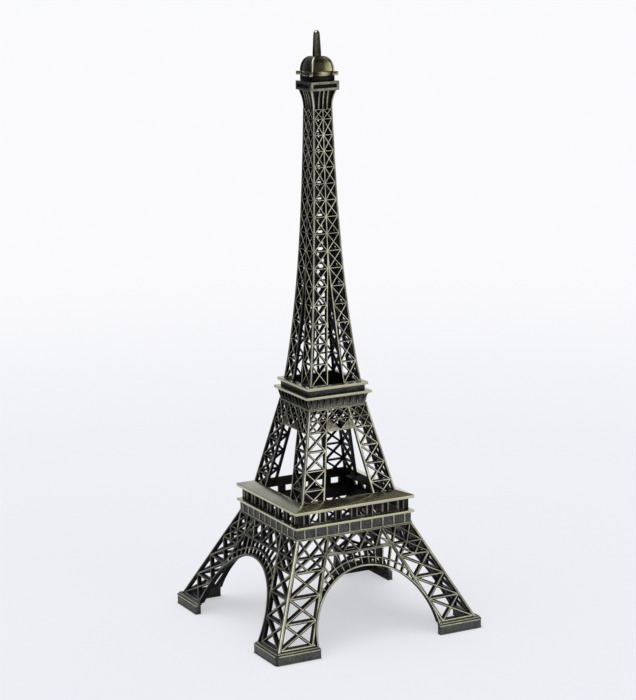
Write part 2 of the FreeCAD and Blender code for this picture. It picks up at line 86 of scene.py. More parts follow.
def makeCamera():
    height = cadBox[1].z
    azimuth, elevation, roll = (math.radians(view[key]) for key in ("azimuth", "elevation", "roll"))
    level = math.cos(elevation)
    back = Vector((math.sin(azimuth) * level, -math.cos(azimuth) * level, math.sin(elevation)))
    right = Vector((math.cos(azimuth), math.sin(azimuth), 0))
    lift = back.cross(right)
    target = zAxis * view["aim"] * height + right * view["aside"] * height
    turnedRight = math.cos(roll) * right + math.sin(roll) * lift
    turnedLift = math.cos(roll) * lift - math.sin(roll) * right
    data = bpy.data.cameras.new("camera")
    data.lens = view["lens"]
    data.sensor_width = view["sensor"]
    data.clip_start, data.clip_end = view["clip"]
    camera = bpy.data.objects.new("camera", data)
    place = Matrix((turnedRight, turnedLift, back)).transposed().to_4x4()
    place.translation = target + back * view["distance"] * height
    camera.matrix_world = place
    bpy.context.scene.collection.objects.link(camera)
    bpy.context.scene.camera = camera
    bpy.context.scene.view_settings.view_transform = "Standard"


def linear(hexColour):  # an sRGB hex colour as linear values
    channels = [int(hexColour[start:start + 2], 16) / 255 for start in (1, 3, 5)]
    return [c / 12.92 if c <= 0.04045 else ((c + 0.055) / 1.055) ** 2.4 for c in channels] + [1]


def addNode(tree, kind, settings=None, inputs=None):  # a node with its settings, values and links
    node = tree.nodes.new(kind)
    for key, value in (settings or {}).items():
        setattr(node, key, value)
    for key, value in (inputs or {}).items():
        if isinstance(value, bpy.types.NodeSocket):
            tree.links.new(value, node.inputs[key])
        else:
            node.inputs[key].default_value = value
    return node


def setStops(ramp, stops):  # colour stops on a ramp, (place, hex)
    band = ramp.color_ramp
    while len(band.elements) < len(stops):
        band.elements.new(0.5)
    for element, (place, colour) in zip(band.elements, stops):
        element.position = place
        element.color = linear(colour)


# settings that many nodes share
smooth = {"interpolation_type": "SMOOTHSTEP"}
colours = {"data_type": "RGBA"}
times = {"operation": "MULTIPLY"}
plus = {"operation": "ADD"}
greater = {"operation": "MAXIMUM"}

studio = {
    "dim": 0.13,  # what reaches the metal from everywhere
    # a big soft window low in front; its edge and heart are cosines from its middle
    "key": (0.45, -0.85, 0.05), "keyStrength": 0.74, "keyEdge": 0.68, "keyHeart": 1.0,
    # where the front light falls off to the right, and how much of it is left there
    "windowEnds": (0.465, 0.515), "windowFront": (0.0, -0.3), "windowEnd": 0.3,
    # a pale backdrop behind and to the right, up to a low height
    "glow": 0.85, "glowHeights": (0.60, 0.42), "glowSides": (-0.6, 0.2),
    # cool light on the left and plain light on the right
    "coolSide": "#E2E4FF", "plainSide": "#FFFFFF", "tintSides": (0.0, 0.45),
    # one wide lamp overhead, with its spread in degrees
    "overhead": (-0.25, -0.05, 0.97), "overheadStrength": 2.1, "overheadSpread": 80,
}


def makeWorld():
    world = bpy.data.worlds.new("soft studio")
    bpy.context.scene.world = world
    world.use_nodes = True
    tree = world.node_tree
    tree.nodes.clear()
    way = addNode(tree, "ShaderNodeTexCoord").outputs["Generated"]
    key = Vector(studio["key"]).normalized()
    lean = addNode(tree, "ShaderNodeVectorMath", {"operation": "DOT_PRODUCT"}, {0: way, 1: key}).outputs["Value"]
    window = addNode(tree, "ShaderNodeMapRange", smooth, {
        "Value": lean, "From Min": studio["keyEdge"], "From Max": studio["keyHeart"], "To Max": studio["keyStrength"],
    }).outputs[0]
    split = addNode(tree, "ShaderNodeSeparateXYZ", None, {0: way})
    low = addNode(tree, "ShaderNodeMapRange", smooth, {
        "Value": split.outputs["Z"], "From Min": studio["glowHeights"][0], "From Max": studio["glowHeights"][1],
    }).outputs[0]
    aside = addNode(tree, "ShaderNodeMapRange", smooth, {
        "Value": split.outputs["X"], "From Min": studio["glowSides"][0], "From Max": studio["glowSides"][1],
        "To Max": studio["glow"],
    }).outputs[0]
    toTheRight = addNode(tree, "ShaderNodeMapRange", smooth, {
        "Value": split.outputs["X"], "From Min": studio["windowEnds"][0], "From Max": studio["windowEnds"][1],
    }).outputs[0]
    inFront = addNode(tree, "ShaderNodeMapRange", smooth, {
        "Value": split.outputs["Y"], "From Min": studio["windowFront"][0], "From Max": studio["windowFront"][1],
        "To Max": 1 - studio["windowEnd"],
    }).outputs[0]
    lost = addNode(tree, "ShaderNodeMath", times, {0: toTheRight, 1: inFront}).outputs[0]
    kept = addNode(tree, "ShaderNodeMath", {"operation": "SUBTRACT"}, {0: 1.0, 1: lost}).outputs[0]
    glow = addNode(tree, "ShaderNodeMath", times, {0: low, 1: aside}).outputs[0]
    summed = addNode(tree, "ShaderNodeMath", plus, {0: window, 1: glow}).outputs[0]
    summed = addNode(tree, "ShaderNodeMath", times, {0: summed, 1: kept}).outputs[0]
    strength = addNode(tree, "ShaderNodeMath", plus, {0: summed, 1: studio["dim"]}).outputs[0]
    plain = addNode(tree, "ShaderNodeMapRange", smooth, {
        "Value": split.outputs["X"], "From Min": studio["tintSides"][0], "From Max": studio["tintSides"][1],
    }).outputs[0]
    tint = addNode(tree, "ShaderNodeMix", colours, {
        0: plain, 6: linear(studio["coolSide"]), 7: linear(studio["plainSide"]),
    }).outputs[2]
    lit = addNode(tree, "ShaderNodeBackground", None, {"Color": tint, "Strength": strength})
    addNode(tree, "ShaderNodeOutputWorld", None, {"Surface": lit.outputs[0]})
    lamp = bpy.data.lights.new("overhead diffuser", "SUN")
    lamp.energy = studio["overheadStrength"]
    lamp.angle = math.radians(studio["overheadSpread"])
    overhead = bpy.data.objects.new("overhead diffuser", lamp)
    overhead.rotation_mode = "QUATERNION"
    overhead.rotation_quaternion = Vector(studio["overhead"]).to_track_quat("Z", "Y")
    bpy.context.scene.collection.objects.link(overhead)


floorLook = {
    "size": 40,  # metres
    "near": "#F5F6FA", "far": "#FAFAFC", "nearReach": 0.25, "farReach": 1.12,  # its tint, by metres from the tower
    "shade": 0.53,  # the steady part of its colour under the tower; the rest holds the shadow
    "mirror": 0.5,  # how much of the steady part shows in the metal
    "studio": "#4E4E60", "paperEdge": (-0.95, -0.4),  # the dim floor past the paper, and where the paper ends
}


def makeFloor():
    bm = bmesh.new()
    bmesh.ops.create_grid(bm, x_segments=1, y_segments=1, size=floorLook["size"] / 2)
    mesh = bpy.data.meshes.new("floor")
    bm.to_mesh(mesh)
    bm.free()
    floor = bpy.data.objects.new("floor", mesh)
    bpy.context.scene.collection.objects.link(floor)
    material = bpy.data.materials.new("seamless paper")
    material.use_nodes = True
    tree = material.node_tree
    tree.nodes.clear()
    where = addNode(tree, "ShaderNodeTexCoord").outputs["Object"]
    reach = addNode(tree, "ShaderNodeVectorMath", {"operation": "LENGTH"}, {0: where}).outputs["Value"]
    share = addNode(tree, "ShaderNodeMapRange", smooth, {
        "Value": reach, "From Min": floorLook["nearReach"], "From Max": floorLook["farReach"],
    }).outputs[0]
    tint = addNode(tree, "ShaderNodeMix", colours, {
        0: share, 6: linear(floorLook["near"]), 7: linear(floorLook["far"]),
    }).outputs[2]
    # far to the left the metal sees the dim floor past the paper's edge
    azimuth = math.radians(view["azimuth"])
    across = addNode(tree, "ShaderNodeVectorMath", {"operation": "DOT_PRODUCT"}, {
        0: where, 1: (math.cos(azimuth), math.sin(azimuth), 0),
    }).outputs["Value"]
    onPaper = addNode(tree, "ShaderNodeMapRange", smooth, {
        "Value": across, "From Min": floorLook["paperEdge"][0], "From Max": floorLook["paperEdge"][1],
    }).outputs[0]
    rays = addNode(tree, "ShaderNodeLightPath")
    direct = rays.outputs["Is Camera Ray"]
    mirrored = addNode(tree, "ShaderNodeMath", greater, {
        0: rays.outputs["Is Glossy Ray"], 1: rays.outputs["Is Transmission Ray"],
    }).outputs[0]
    mirrored = addNode(tree, "ShaderNodeMath", times, {0: mirrored, 1: onPaper}).outputs[0]
    mirrored = addNode(tree, "ShaderNodeMath", times, {0: mirrored, 1: floorLook["mirror"]}).outputs[0]
    seen = addNode(tree, "ShaderNodeMath", greater, {0: direct, 1: mirrored}).outputs[0]
    bare = addNode(tree, "ShaderNodeMath", greater, {0: direct, 1: onPaper}).outputs[0]
    ground = addNode(tree, "ShaderNodeMix", colours, {0: bare, 6: linear(floorLook["studio"]), 7: tint}).outputs[2]
    paper = addNode(tree, "ShaderNodeBsdfDiffuse", None, {"Color": ground})
    light = addNode(tree, "ShaderNodeEmission", None, {"Color": tint, "Strength": 1})
    lift = addNode(tree, "ShaderNodeMapRange", None, {
        "Value": share, "To Min": floorLook["shade"], "To Max": 1,
    }).outputs[0]
    part = addNode(tree, "ShaderNodeMath", times, {0: seen, 1: lift}).outputs[0]
    both = addNode(tree, "ShaderNodeMixShader", None, {0: part, 1: paper.outputs[0], 2: light.outputs[0]})
    addNode(tree, "ShaderNodeOutputMaterial", None, {"Surface": both.outputs[0]})
    mesh.materials.append(material)


makeCamera()
makeWorld()
makeFloor()
print("studio ready")


# finishes

# Antique brass: a zinc casting plated with brass, blackened in a bath and rubbed back by hand. What
# the wheel reaches is pale, greenish and shiny, and everything behind it stays near black.
# "stops" runs from black to rubbed, "patch" and "grain" are in mm, and "rough" and "metal" are
# given for the black and for the rubbed metal.
brassLooks = {
    # bars: a bright worn line along each crest, which makes the open lattice read against its black sides
    "rubbed antique brass": {
        "stops": ((0.0, "#0D0C10"), (0.45, "#2C2B2A"), (0.74, "#84826E"), (1.0, "#CECCB0")),
        "patch": 9.0, "patchPull": 0.3, "grain": 0.7, "grainPull": 0.25,
        "rough": (0.45, 0.28), "metal": (0.85, 1.0), "pits": 0.25,
    },
    # sunk panels and plinths: a rough grey cloudiness, as the casting came from its mould
    "mottled antique brass": {
        "stops": ((0.0, "#111013"), (0.35, "#545452"), (0.65, "#868574"), (1.0, "#C8C6AA")),
        "patch": 4.0, "patchPull": 0.12, "grain": 0.9, "grainPull": 0.35,
        "rough": (0.55, 0.34), "metal": (0.7, 1.0), "pits": 0.4,
    },
    # roof, ledge and slabs: a smooth even sheen that gives broad soft reflections
    "satin antique brass": {
        "stops": ((0.0, "#131211"), (0.35, "#4A4836"), (0.65, "#A3A186"), (1.0, "#CCCAAA")),
        "patch": 16.0, "patchPull": 0.25, "grain": 0.6, "grainPull": 0.12,
        "rough": (0.30, 0.17), "metal": (0.85, 1.0), "pits": 0.1,
    },
    # dome, lantern and spire: deep brown black; the warm golden streaks on the dome and spire are painted highlights
    "dark antique brass": {
        "stops": ((0.0, "#0C0A0B"), (0.35, "#403D2B"), (0.65, "#8B8767"), (1.0, "#CDC9A6")),
        "patch": 5.0, "patchPull": 0.3, "grain": 0.8, "grainPull": 0.2,
        "rough": (0.30, 0.24), "metal": (0.9, 1.0), "pits": 0.1,
    },
}
plating = {
    "patchNoise": {"Detail": 2, "Roughness": 0.5}, "grainNoise": {"Detail": 3, "Roughness": 0.6},
    "noiseSpan": (0.25, 0.75),  # where nearly all of a noise lies
    "fullMetal": 0.6,  # the wear past which the black is gone
    "pitDepth": 0.05,  # mm
}


def makeBrass(name, look):
    material = bpy.data.materials.new(name)
    material.use_nodes = True
    tree = material.node_tree
    tree.nodes.clear()
    where = addNode(tree, "ShaderNodeTexCoord").outputs["Object"]
    rub = addNode(tree, "ShaderNodeAttribute", {"attribute_name": "rub"}).outputs["Fac"]
    patch = addNode(tree, "ShaderNodeTexNoise", None, {
        "Vector": where, "Scale": 1 / (look["patch"] * mm), **plating["patchNoise"],
    }).outputs[0]
    grain = addNode(tree, "ShaderNodeTexNoise", None, {
        "Vector": where, "Scale": 1 / (look["grain"] * mm), **plating["grainNoise"],
    }).outputs[0]
    least, most = plating["noiseSpan"]
    # the rub attribute with noise: wear, with painted highlights on the dome and spire and painted shade on the cornice
    # cove
    wearAndPaintedLight = rub
    for noise, pull in ((patch, look["patchPull"]), (grain, look["grainPull"])):
        sway = addNode(tree, "ShaderNodeMapRange", None, {
            "Value": noise, "From Min": least, "From Max": most, "To Min": -pull / 2, "To Max": pull / 2,
        }).outputs[0]
        wearAndPaintedLight = addNode(tree, "ShaderNodeMath", {**plus, "use_clamp": True}, {0: wearAndPaintedLight, 1: sway}).outputs[0]
    ramp = addNode(tree, "ShaderNodeValToRGB", None, {0: wearAndPaintedLight})
    setStops(ramp, look["stops"])
    rough = addNode(tree, "ShaderNodeMapRange", None, {
        "Value": wearAndPaintedLight, "To Min": look["rough"][0], "To Max": look["rough"][1],
    }).outputs[0]
    metal = addNode(tree, "ShaderNodeMapRange", None, {
        "Value": wearAndPaintedLight, "From Max": plating["fullMetal"], "To Min": look["metal"][0], "To Max": look["metal"][1],
    }).outputs[0]
    pits = addNode(tree, "ShaderNodeBump", None, {
        "Strength": look["pits"], "Distance": plating["pitDepth"] * mm, "Height": grain,
    })
    surface = addNode(tree, "ShaderNodeBsdfPrincipled", None, {
        "Base Color": ramp.outputs[0], "Roughness": rough, "Metallic": metal, "Normal": pits.outputs[0],
    })
    addNode(tree, "ShaderNodeOutputMaterial", None, {"Surface": surface.outputs[0]})
    return material


brass = {name: makeBrass(name, look) for name, look in brassLooks.items()}
print("finishes ready")


# tools shared by the pieces; a mesh is made in mm and its "rub" says how far it is rubbed back, except that on the dome
# and spire it also holds painted highlights and on the cornice cove painted shade

making = {
    "touching": 0.001,  # mm; closer vertices are one
    "softCrease": 38, "crispCrease": 12,  # degrees; sharper edges stay crisp
    "ringSharp": 0.5, "sharp": 0.9,  # radians; edges of rings and of blocks that get a bevel
}


def newWork():
    bm = bmesh.new()
    bm.verts.layers.float.new("rub")
    return bm


def allOf(bm):
    return list(bm.verts) + list(bm.edges) + list(bm.faces)


def edgesOf(verts):  # each edge once, in a steady order
    return list(dict.fromkeys(edge for vert in verts for edge in vert.link_edges))


def facesOf(verts):
    return list(dict.fromkeys(face for vert in verts for face in vert.link_faces))


def uprightOf(bm, least=1):  # edges that rise by more than this
    return [edge for edge in bm.edges if abs(edge.verts[0].co.z - edge.verts[1].co.z) > least]


def sharpOf(edges, least=making["sharp"]):  # edges that turn by more than this
    return [edge for edge in edges if edge.calc_face_angle(0) > least]


def pullOut(bm, geom):  # extrudes and keeps the first faces; gives back the new vertices
    grown = bmesh.ops.extrude_face_region(bm, geom=geom, use_keep_orig=True)["geom"]
    return [item for item in grown if isinstance(item, bmesh.types.BMVert)]


def paint(verts, bm, rule):
    layer = bm.verts.layers.float["rub"]
    for vert in verts:
        vert[layer] = max(0.0, min(1.0, rule(vert.co)))


def bevelEdges(bm, edges, offset, segments=2):
    return bmesh.ops.bevel(
        bm, geom=edges, offset=offset, segments=segments, profile=0.5, affect="EDGES", material=-1, clamp_overlap=False
    )


def addBlock(bm, low, high, bevel, segments, rub):
    # a box with eased edges, between two corners
    low, high = Vector(low), Vector(high)
    made = bmesh.ops.create_cube(bm, size=1)["verts"]
    for vert in made:
        vert.co = Vector(mix(l, h, c + 0.5) for l, h, c in zip(low, high, vert.co))
    paint(made, bm, lambda place: rub)
    return bevelEdges(bm, edgesOf(made), bevel, segments)["verts"]


def addSquareRing(bm, section, rub, bevel=0.0, segments=2):
    # a square ring from its section's (half width, level) points; rub is given for each point
    layer = bm.verts.layers.float["rub"]
    half, level = section[0]
    first = [bm.verts.new((x * half, y * half, level)) for x, y in ((-1, -1), (1, -1), (1, 1), (-1, 1))]
    for vert in first:
        vert[layer] = rub[0]
    firstEdges = [bm.edges.new((first[i], first[(i + 1) % 4])) for i in range(4)]
    edges = firstEdges
    made = list(first)
    for (half, level), worn in zip(section[1:], rub[1:]):
        grown = bmesh.ops.extrude_edge_only(bm, edges=edges)["geom"]
        verts = [item for item in grown if isinstance(item, bmesh.types.BMVert)]
        edges = [item for item in grown if isinstance(item, bmesh.types.BMEdge) and all(v in verts for v in item.verts)]
        for vert in verts:
            vert.co = (math.copysign(half, vert.co.x), math.copysign(half, vert.co.y), level)
            vert[layer] = worn
        made += verts
    bmesh.ops.bridge_loops(bm, edges=edges + firstEdges)
    if bevel:
        sharp = sharpOf(edgesOf(made), making["ringSharp"])
        bevelEdges(bm, [edge for edge in sharp if edge.is_manifold], bevel, segments)


def aroundTheMiddle(bm, verts):
    # what is on the front goes on all four sides
    verts = [vert for vert in verts if vert.is_valid]
    bmesh.ops.spin(
        bm, geom=verts + edgesOf(verts) + facesOf(verts), cent=origin, axis=zAxis, angle=math.pi * 1.5, steps=3,
        use_duplicate=True,
    )


def bringIn(bm, other):  # adds another work's mesh to this one and gives back its vertices here
    carrier = bpy.data.meshes.new("carrier")
    other.to_mesh(carrier)
    other.free()
    count = len(bm.verts)
    bm.from_mesh(carrier)
    bpy.data.meshes.remove(carrier)
    bm.verts.ensure_lookup_table()
    return bm.verts[count:]


def finishPiece(name, bm, material, nodes, quarterTurns=0, crease=making["softCrease"]):
    bmesh.ops.remove_doubles(bm, verts=bm.verts, dist=making["touching"])
    bmesh.ops.holes_fill(bm, edges=bm.edges, sides=0)
    bmesh.ops.recalc_face_normals(bm, faces=bm.faces)
    bmesh.ops.rotate(bm, verts=bm.verts, cent=origin, matrix=Matrix.Rotation(quarterTurns * math.pi / 2, 3, "Z"))
    bmesh.ops.scale(bm, verts=bm.verts, vec=(mm, mm, mm))
    for face in bm.faces:
        face.smooth = True
    for edge in bm.edges:
        edge.smooth = edge.calc_face_angle(0) < math.radians(crease)
    mesh = bpy.data.meshes.new(name)
    bm.to_mesh(mesh)
    bm.free()
    mesh.materials.append(material)
    piece = bpy.data.objects.new(name, mesh)
    bpy.context.scene.collection.objects.link(piece)
    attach(piece, "root")
    if nodes:
        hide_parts(*nodes)
    return piece


# lattice: flat cells are inset, their middles taken out, and the rest is cast to a depth with
# rounded fronts

bars = {
    "rub": 0.95, "fineRub": 0.8,  # on the crests of the plain bars and of the fine ones
    "rounding": 3,  # segments round a bar's front corner
    "near": 0.01,  # mm; places closer than this are one
}


class Lattice:
    def __init__(self):
        self.bm = newWork()
        self.nodes = {}
        self.cells = {}

    def at(self, x, z):
        key = (round(x, 3), round(z, 3))
        if key not in self.nodes:
            self.nodes[key] = self.bm.verts.new((x, 0, z))
        return self.nodes[key]

    def corners(self, low, high, zLow, zHigh, index):  # of one cell, round it
        lower = [self.at(low[index], zLow), self.at(low[index + 1], zLow)]
        return lower + [self.at(high[index + 1], zHigh), self.at(high[index], zHigh)]

    def solid(self, low, high, zLow, zHigh):
        # a solid strip between two levels
        for index in range(len(low) - 1):
            corners = list(dict.fromkeys(self.corners(low, high, zLow, zHigh, index)))
            if len(corners) > 2:
                self.bm.faces.new(corners)

    def crossed(self, low, high, zLow, zHigh, strut):
        # crossed cells between two levels, with no uprights between them
        meets = []
        uprights = []
        for index in range(len(low) - 1):
            corners = self.corners(low, high, zLow, zHigh, index)
            meet = intersect_line_line(corners[0].co, corners[2].co, corners[1].co, corners[3].co)[0]
            poked = bmesh.ops.poke(self.bm, faces=[self.bm.faces.new(corners)])["verts"][0]
            poked.co = meet
            meets.append(poked)
            if index:
                uprights.append(self.bm.edges.get((corners[0], corners[3])))
        if uprights:
            bmesh.ops.dissolve_edges(self.bm, edges=uprights, use_verts=False)
        self.cells.setdefault(strut, []).extend(facesOf(meets))

    def cast(self, depth, look, fineFrom=math.inf):
        # each bar keeps a narrow crest at the front and slopes back on both sides; the fine rows
        # above a level are rubbed less
        bm = self.bm
        crest, flank = look["crest"], look["flank"]
        for strut, faces in self.cells.items():
            bmesh.ops.inset_individual(bm, faces=faces, thickness=crest / 2, use_even_offset=True)
            bmesh.ops.inset_individual(bm, faces=faces, thickness=(strut - crest) / 2, use_even_offset=True)
            for vert in [vert for face in faces for vert in face.verts]:
                vert.co.y = flank
        middles = [face for faces in self.cells.values() for face in faces]
        bmesh.ops.delete(bm, geom=middles, context="FACES_ONLY")
        rims = [edge for edge in bm.edges if len(edge.link_faces) == 1]
        outline = [edge for edge in rims if max(vert.co.y for vert in edge.verts) < flank / 2]
        for vert in pullOut(bm, allOf(bm)):
            vert.co.y = depth
        bmesh.ops.recalc_face_normals(bm, faces=bm.faces)
        bevelEdges(bm, outline, look["roundness"], bars["rounding"])
        paint(bm.verts, bm, lambda place: bars["rub" if place.z < fineFrom else "fineRub"] - place.y / flank)
        return bm


def even(start, end, count):  # evenly spaced places from start to end
    return [mix(start, end, index / count) for index in range(count + 1)]


def spread(count, pitch):  # places a pitch apart, about the middle
    return [pitch * (index - (count - 1) / 2) for index in range(count)]


def lean(bm, halfAt):  # a flat lattice goes back onto the leaning front
    for vert in bm.verts:
        vert.co.y -= halfAt(vert.co.z)


def cornerPosts(width, levels, halfAt, proud, roundness):
    # four rounded posts along the corners of a storey
    bm = newWork()
    for vert in bmesh.ops.create_cube(bm, size=1)["verts"]:
        vert.co = ((vert.co.x + 0.5) * width, (vert.co.y + 0.5) * width, mix(levels[0], levels[-1], vert.co.z + 0.5))
    bevelEdges(bm, uprightOf(bm), roundness, 3)
    for level in levels[1:-1]:
        bmesh.ops.bisect_plane(bm, geom=allOf(bm), plane_co=(0, 0, level), plane_no=zAxis)
    paint(bm.verts, bm, lambda place: 1 - (max(place.x, place.y) / width) ** 3)
    for vert in bm.verts:
        shift = halfAt(vert.co.z) + proud
        vert.co.x -= shift
        vert.co.y -= shift
    aroundTheMiddle(bm, list(bm.verts))
    return bm


def finishSides(storey, side):  # a storey's four sides, from its front one
    for turn, name in enumerate(sides):
        finishPiece(
            storey + "_lattice_" + name, side.copy(), brass["rubbed antique brass"],
            [storey + "_side_" + name], turn,
        )
    side.free()


def finishPosts(storey, look, levels, halfAt):  # a storey's corner posts
    posts = cornerPosts(look["cornerPost"], levels, halfAt, look["cornerProud"], look["cornerRound"])
    finishPiece(storey + "_corner_posts", posts, brass["rubbed antique brass"], [])


# lower storey

# half widths from the middle, in mm, and levels from the table
baseSide = {
    "foot": 59.6, "top": 34.9, "depth": 2.2, "corner": 1.3, "cornerGap": 0.9,
    "postFoot": 39.8, "postTop": 16.3, "post": 1.7, "finePost": 1.1,
    "plinthTop": 6.2, "bottomRail": 0.5, "bays": 3, "baysTop": 41.0, "bandTop": 47.3, "chord": 0.45,
    "legCells": 2, "trussCells": 4, "strut": 1.55, "fineStrut": 1.15,
    "crest": 0.26, "flank": 0.5, "roundness": 0.5,
    "cornerPost": 2.1, "cornerProud": 0.2, "cornerRound": 0.7, "cornerSunk": 0.3,
}
plinthTop = baseSide["plinthTop"]
baseTop = levelsOf("base_side_front")[1]


def baseShare(level):
    return (level - plinthTop) / (baseTop - plinthTop)


def baseHalf(level):
    return mix(baseSide["foot"], baseSide["top"], baseShare(level))


def basePost(level):
    return mix(baseSide["postFoot"], baseSide["postTop"], baseShare(level))


def postSides(level):
    # an inner post's two sides; it is finer above the bays
    fine = level >= baseSide["baysTop"] - bars["near"]
    half = baseSide["finePost" if fine else "post"] / 2
    return -half, half - baseSide["fineStrut" if fine else "strut"] / 2


def makeBaseLattice():
    work = Lattice()
    start = plinthTop + baseSide["bottomRail"]
    rails = even(start, baseSide["baysTop"], baseSide["bays"])
    levels = [plinthTop] + rails + [baseSide["bandTop"], baseTop]
    for sign in (-1, 1):
        for low, high in zip(levels, levels[1:]):
            inner = [[sign * (basePost(z) + side) for side in postSides(z)] for z in (low, high)]
            outer = [[sign * (baseHalf(z) - baseSide[gap]) for gap in ("corner", "cornerGap")] for z in (low, high)]
            work.solid(inner[0], inner[1], low, high)
            work.solid(outer[0], outer[1], low, high)
            cells = baseSide["legCells"] if low >= baseSide["baysTop"] else 1
            strut = baseSide["fineStrut"] if cells > 1 else baseSide["strut"]
            across = [even(inner[i][1], outer[i][0], cells) for i in (0, 1)]
            if low == plinthTop:
                work.solid(across[0], across[1], low, high)
            else:
                work.crossed(across[0], across[1], low, high, strut)
    low, high = baseSide["bandTop"], baseTop
    ends = [basePost(z) + postSides(z)[0] for z in (low, high)]
    across = [even(-end, end, baseSide["trussCells"]) for end in ends]
    work.crossed(across[0], across[1], low, high, baseSide["fineStrut"])
    work.solid(across[0], across[0], low - baseSide["chord"], low)
    return work.cast(baseSide["depth"], baseSide, baseSide["baysTop"] + 1)


arch = {
    "radius": 36.3, "centre": 3.0, "band": 1.3, "proud": 0.7, "depth": 3.2, "bandRound": 0.5, "bandRub": 0.95,
    "reach": 85, "steps": 56,  # degrees to each side of the crown, and steps from end to end
    # the bars that fan out from the band, every few degrees, and the thin ring across them
    "ring": 40.6, "fanReach": 62, "barReach": 60, "barStep": 6, "bar": 1.0,
    "crest": 0.22, "flank": 0.4, "roundness": 0.3, "thinner": 0.3, "sunk": 0.06,
    "overlap": 0.1, "smallest": 0.5, "inside": 20,  # "inside" is a level that lies within the fan's outline
}


def makeArchFan():
    # bars that fan out from the arch to the truss, crossed by one thin ring
    work = Lattice()
    bm = work.bm
    centre = Vector((0, 0, arch["centre"]))
    start = math.radians(-arch["barReach"])
    radii = (arch["radius"] + arch["band"] / 2, arch["ring"], arch["fanReach"])
    spokes = [bm.verts.new(centre + Vector((math.sin(start), 0, math.cos(start))) * radius) for radius in radii]
    edges = [bm.edges.new(pair) for pair in zip(spokes, spokes[1:])]
    steps = round(2 * arch["barReach"] / arch["barStep"])
    bmesh.ops.spin(bm, geom=spokes + edges, cent=centre, axis=yAxis, angle=-2 * start, steps=steps)
    clip = [(Vector((0, 0, baseSide["bandTop"] - baseSide["chord"] + arch["overlap"])), zAxis)]
    for sign in (-1, 1):
        low, high = (sign * (basePost(z) - baseSide["post"] / 2 + arch["overlap"]) for z in (plinthTop, baseTop))
        run = Vector((high - low, 0, baseTop - plinthTop))
        clip.append((Vector((low, 0, plinthTop)), run.cross(yAxis) * -sign))
    for place, way in clip:
        outward = way if way.dot(place - Vector((0, 0, arch["inside"]))) > 0 else -way
        bmesh.ops.bisect_plane(bm, geom=allOf(bm), plane_co=place, plane_no=outward, clear_outer=True)
    roomy = [face for face in bm.faces if 2 * face.calc_area() / face.calc_perimeter() > arch["smallest"]]
    work.cells[arch["bar"]] = roomy
    bm = work.cast(baseSide["depth"] - arch["thinner"], arch)
    for vert in bm.verts:
        vert.co.y += arch["sunk"]
    return bm


def makeArchBand():
    # the arch's own band, a rounded bar swept round
    bm = newWork()
    centre = Vector((0, 0, arch["centre"]))
    corners = [(arch["radius"], -arch["proud"]), (arch["radius"] + arch["band"], -arch["proud"])]
    corners += [(radius, arch["depth"] - arch["proud"]) for radius, depth in reversed(corners)]
    bm.faces.new([bm.verts.new(centre + Vector((0, depth, radius))) for radius, depth in corners])
    fronts = [vert for vert in bm.verts if vert.co.y < 0]
    bmesh.ops.bevel(bm, geom=fronts, offset=arch["bandRound"], segments=3, profile=0.5, affect="VERTICES", material=-1)
    reach = math.radians(arch["reach"])
    bmesh.ops.rotate(bm, verts=bm.verts, cent=centre, matrix=Matrix.Rotation(-reach, 3, "Y"))
    bmesh.ops.spin(bm, geom=allOf(bm), cent=centre, axis=yAxis, angle=2 * reach, steps=arch["steps"])
    bmesh.ops.holes_fill(bm, edges=[edge for edge in bm.edges if edge.is_boundary], sides=0)
    paint(bm.verts, bm, lambda place: arch["bandRub"] - (place.y + arch["proud"]) / (arch["bandRound"] / 2))
    return bm


foot = {
    "inner": 36.0, "wall": 3.2, "corner": 2.4, "cornerSteps": 6, "near": 0.1, "ease": 0.14,
    # (lowest, highest, set back from the outside, rub) of the plinth's courses
    "courses": (
        (0.0, 0.55, 0.0, 0.55), (0.45, 4.75, 0.22, 0.34), (4.6, 5.25, 0.0, 0.85), (5.15, 5.6, 0.55, 0.1),
        (5.5, 6.2, 0.85, 0.8),
    ),
    "farBack": 0.5, "wider": 0.9,  # courses set further back than this reach further in
    "outer": 0.3, "innerRub": 0.25,  # behind its outermost mm a course is rubbed this much less
}


def makePlinths():
    outside = halfOf("base_side_front")
    bm = newWork()
    for low, high, back, worn in foot["courses"]:
        course = newWork()
        reach = outside - back
        inside = outside - foot["wall"] - (foot["wider"] if back > foot["farBack"] else 0)
        end = foot["inner"] + back / 2
        plan = ((-reach, -reach), (-end, -reach), (-end, -inside), (-inside, -inside), (-inside, -end), (-reach, -end))
        face = course.faces.new([course.verts.new((x, y, low)) for x, y in plan])
        for vert in pullOut(course, [face]):
            vert.co.z = high
        near = foot["near"] - reach
        upright = uprightOf(course, foot["near"])
        nose = [edge for edge in upright if edge.verts[0].co.x < near and edge.verts[0].co.y < near]
        bevelEdges(course, nose, foot["corner"] - back, foot["cornerSteps"])
        bevelEdges(course, sharpOf(course.edges), foot["ease"], 2)
        paint(course.verts, course, lambda place: worn * (
            1 if min(place.x, place.y) < foot["outer"] - reach else foot["innerRub"]
        ))
        bringIn(bm, course)
    aroundTheMiddle(bm, list(bm.verts))
    return bm


def makeBase():
    side = makeBaseLattice()
    bringIn(side, makeArchFan())
    bringIn(side, makeArchBand())
    lean(side, baseHalf)
    finishSides("base", side)
    finishPosts("base", baseSide, [plinthTop - baseSide["cornerSunk"], baseTop], baseHalf)
    finishPiece("foot_plinths", makePlinths(), brass["mottled antique brass"], [])


makeBase()
print("lower storey ready")


# first floor: frieze, gallery and canopy

